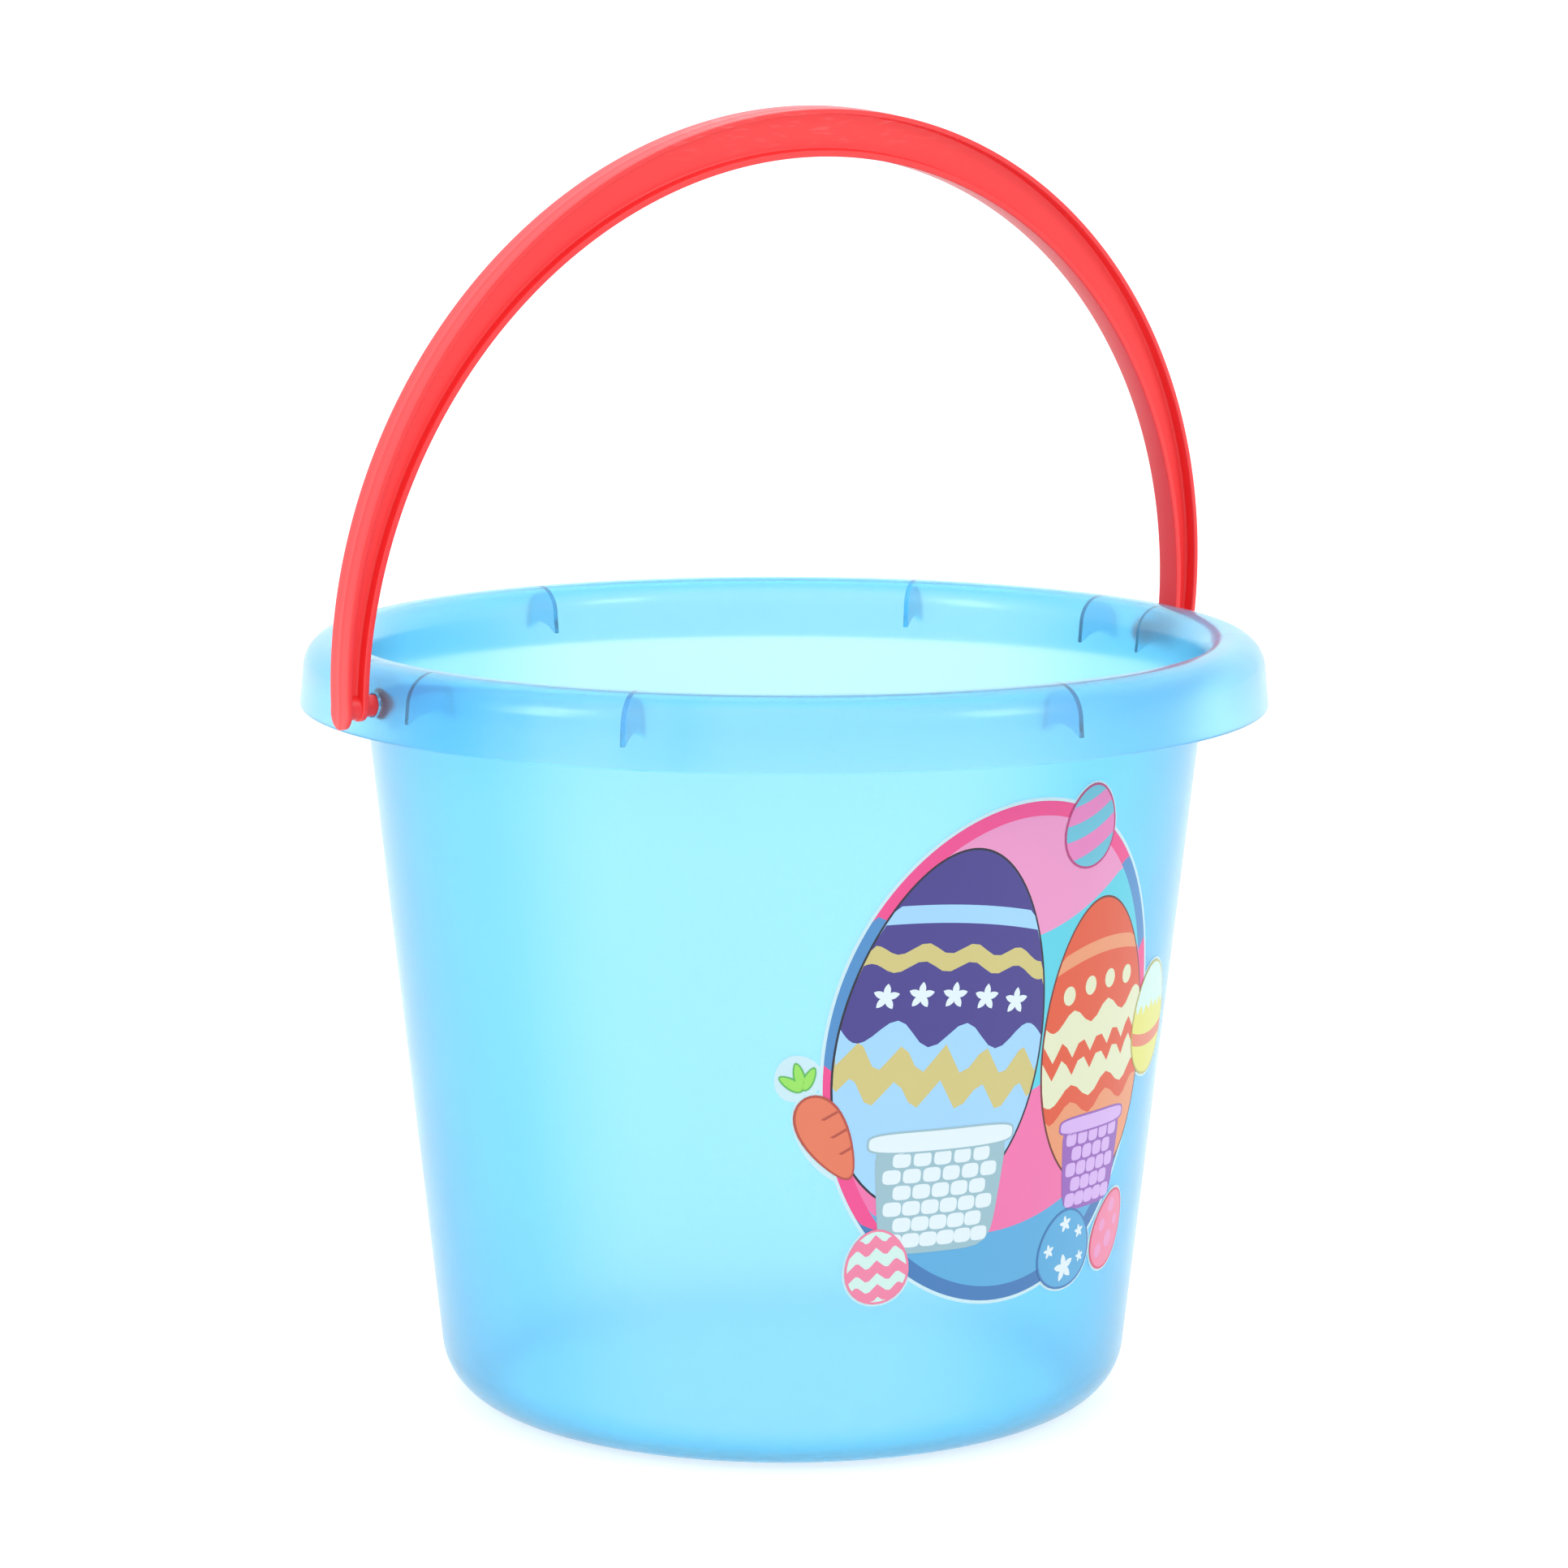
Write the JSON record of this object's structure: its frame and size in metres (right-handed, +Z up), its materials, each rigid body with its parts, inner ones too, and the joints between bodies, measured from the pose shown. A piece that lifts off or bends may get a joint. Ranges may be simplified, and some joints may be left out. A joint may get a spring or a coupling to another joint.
{
  "type": "sand bucket",
  "caption": "Translucent conical sand bucket with a hollow ribbed rim, an oval label and a plastic bail handle that swings on snap-in pegs.",
  "frame": {"origin": "centre of the bucket's base, on the surface it stands on", "axes": "+Z up, the label faces -Y, and the handle's pegs lie along X"},
  "size_m": [0.2466, 0.23, 0.3085],
  "materials": {
    "bucket_plastic": "translucent light blue polypropylene, satin outside and glossy inside",
    "handle_plastic": "red polypropylene, semi-gloss as moulded",
    "label_film": "thin printed film, satin"
  },
  "bodies": {
    "bucket": {"bucket": "bucket_plastic", "label": "label_film"},
    "handle": {"handle": "handle_plastic"}
  },
  "joints": [
    {"name": "handle_swing", "type": "hinge", "parent": "bucket", "child": "handle", "pos_m": [0, 0, 0.1755], "axis": [1, 0, 0], "range_deg": [-133.6, 124]}
  ]
}
